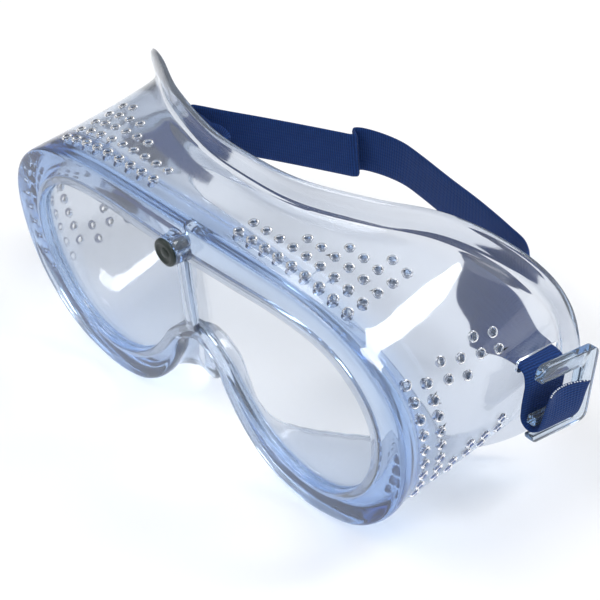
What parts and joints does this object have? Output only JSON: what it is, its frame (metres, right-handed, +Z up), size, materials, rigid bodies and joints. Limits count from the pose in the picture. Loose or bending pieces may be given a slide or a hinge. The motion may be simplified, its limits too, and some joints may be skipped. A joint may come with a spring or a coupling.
{
  "type": "safety goggles",
  "caption": "Clear wrap-round safety goggles: soft vented frame with a flat lens, a nose notch, a face flange, side strap buckles and a wide ribbed elastic headband",
  "frame": {"origin": "centre of the footprint, on the surface that the goggles stand on", "axes": "+X to the right seen from the front, lens faces -Y, +Z up"},
  "size_m": [0.1868, 0.1076, 0.0861],
  "materials": {
    "clear_soft_frame": "clear soft vinyl, smooth and glossy",
    "clear_lens": "clear hard plastic, polished",
    "clear_hard_plastic": "clear hard plastic, glossy",
    "black_plastic": "moulded, satin",
    "blue_elastic": "ribbed woven elastic"
  },
  "bodies": {
    "root": {"frame_body": "clear_soft_frame", "lens": "clear_lens", "headband": "blue_elastic"},
    "stud": {"lens_stud": "black_plastic"},
    "buckle_right": {"strap_buckle_right": "clear_hard_plastic"},
    "buckle_left": {"strap_buckle_left": "clear_hard_plastic"}
  },
  "joints": [
    {"name": "lens_stud_pull", "type": "slide", "parent": "root", "child": "stud", "axis": [0, -1, 0], "range_m": [0, 0.006]},
    {"name": "right_buckle_tilt", "type": "hinge", "parent": "root", "child": "buckle_right", "pos_m": [0.0889, 0.00443, 0.0296], "axis": [0, 0.9744, -0.225], "range_deg": [0, 25]},
    {"name": "left_buckle_tilt", "type": "hinge", "parent": "root", "child": "buckle_left", "pos_m": [-0.0889, 0.00443, 0.0296], "axis": [0, -0.9744, 0.225], "range_deg": [0, 25]}
  ]
}
